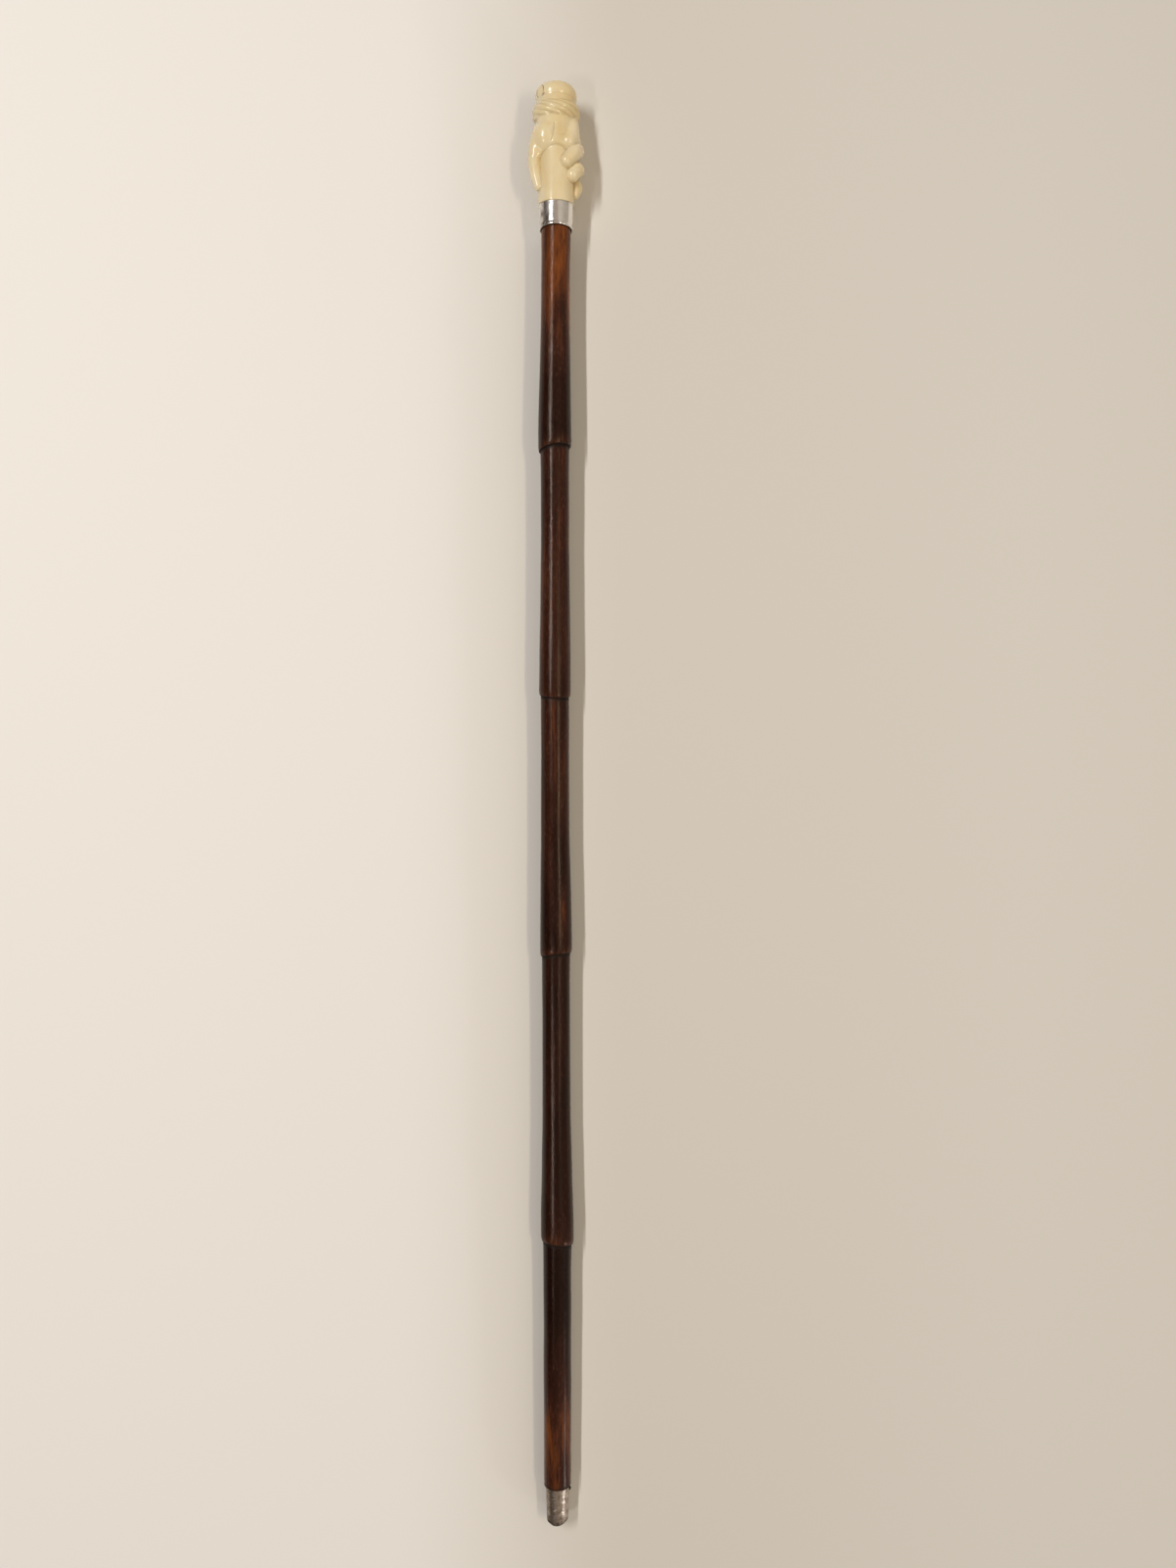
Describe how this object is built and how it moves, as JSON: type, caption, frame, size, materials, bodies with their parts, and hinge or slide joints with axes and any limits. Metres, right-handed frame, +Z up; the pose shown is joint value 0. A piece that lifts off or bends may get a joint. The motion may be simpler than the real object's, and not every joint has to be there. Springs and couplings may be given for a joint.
{
  "type": "walking cane",
  "caption": "Straight walking cane with a stepped cane shaft, a carved pale handle of a hand holding a rod, a metal collar and a metal ferrule.",
  "frame": {"origin": "centre of the lying cane's footprint, on the surface that it lies on", "axes": "+Y along the cane from the foot to the knob, +Z up from the surface, out of the palm of the carved hand, +X towards the fingers"},
  "size_m": [0.0354, 0.8992, 0.0313],
  "materials": {
    "ivory": "polished carved ivory, bone or a resin like them",
    "silver": "polished silver with fine dents and scratches",
    "nickel": "dull plated metal, hammered by wear",
    "steel": "dark worn steel",
    "pitch": "dark hard pitch",
    "dark_cane": "dark stepped cane, stained and varnished"
  },
  "bodies": {
    "root": {"hand_handle": "ivory", "knob_plug": "ivory", "joining_stud": "steel", "collar": "silver", "collar_packing": "pitch", "shaft": "dark_cane", "ferrule": "nickel", "wear_plug": "steel", "ferrule_nail": "steel"}
  },
  "joints": []
}
